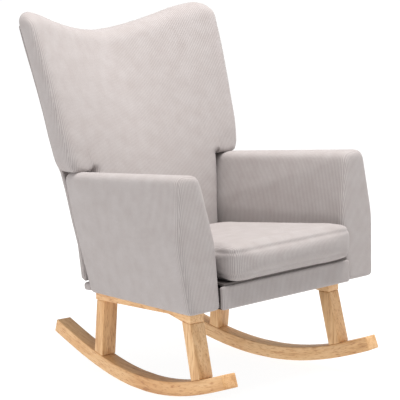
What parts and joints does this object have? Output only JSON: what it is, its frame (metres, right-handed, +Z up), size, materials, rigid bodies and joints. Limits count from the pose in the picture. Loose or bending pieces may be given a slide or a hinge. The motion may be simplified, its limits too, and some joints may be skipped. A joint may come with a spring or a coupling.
{
  "type": "wingback rocking chair",
  "caption": "Upholstered wingback rocking chair with padded arms, a loose seat cushion and two beech rocker frames that toe in towards the back.",
  "frame": {"origin": "on the floor under the middle of the whole chair's box", "axes": "+Z up; the front of the chair faces -Y; +X is on the right seen from the front"},
  "size_m": [0.7704, 0.8901, 1.026],
  "materials": {
    "beech": "oiled, satin",
    "corduroy": "fine-ribbed fabric over padding",
    "plywood": "raw",
    "foam": "cut foam",
    "webbing": "woven elastic",
    "dust_cloth": "non-woven",
    "steel": "zinc plated"
  },
  "bodies": {
    "chair": {"back_left_bolt": "steel", "back_left_post": "plywood", "back_lower_rail": "plywood", "back_right_bolt": "steel", "back_right_post": "plywood", "back_top_rail": "plywood", "back_upholstery": "corduroy", "back_webbing_1": "webbing", "back_webbing_2": "webbing", "back_webbing_3": "webbing", "front_rail_cover": "corduroy", "left_arm_bolt_1": "steel", "left_arm_bolt_2": "steel", "left_arm_cleat": "plywood", "left_arm_panel": "plywood", "left_arm_upholstery": "corduroy", "left_corner_block": "beech", "left_front_leg": "beech", "left_rail_bolt_1": "steel", "left_rail_bolt_2": "steel", "left_rear_leg": "beech", "left_rocker": "beech", "left_side_rail": "beech", "left_wing_board": "plywood", "outside_back_panel": "corduroy", "rear_rail_cover": "corduroy", "right_arm_bolt_1": "steel", "right_arm_bolt_2": "steel", "right_arm_cleat": "plywood", "right_arm_panel": "plywood", "right_arm_upholstery": "corduroy", "right_corner_block": "beech", "right_front_leg": "beech", "right_rail_bolt_1": "steel", "right_rail_bolt_2": "steel", "right_rear_leg": "beech", "right_rocker": "beech", "right_side_rail": "beech", "right_wing_board": "plywood", "seat_deck_pad": "foam", "seat_dust_cover": "dust_cloth", "seat_front_rail": "plywood", "seat_left_board": "plywood", "seat_rear_rail": "plywood", "seat_right_board": "plywood", "seat_spring_1": "steel", "seat_spring_2": "steel", "seat_spring_3": "steel", "seat_spring_4": "steel"},
    "seat_cushion": {"cushion_cover": "corduroy", "cushion_core": "foam", "cushion_zip": "steel"}
  },
  "joints": [
    {"name": "cushion_lift", "type": "slide", "parent": "chair", "child": "seat_cushion", "axis": [0, 0, 1], "range_m": [0, 0.3]}
  ]
}
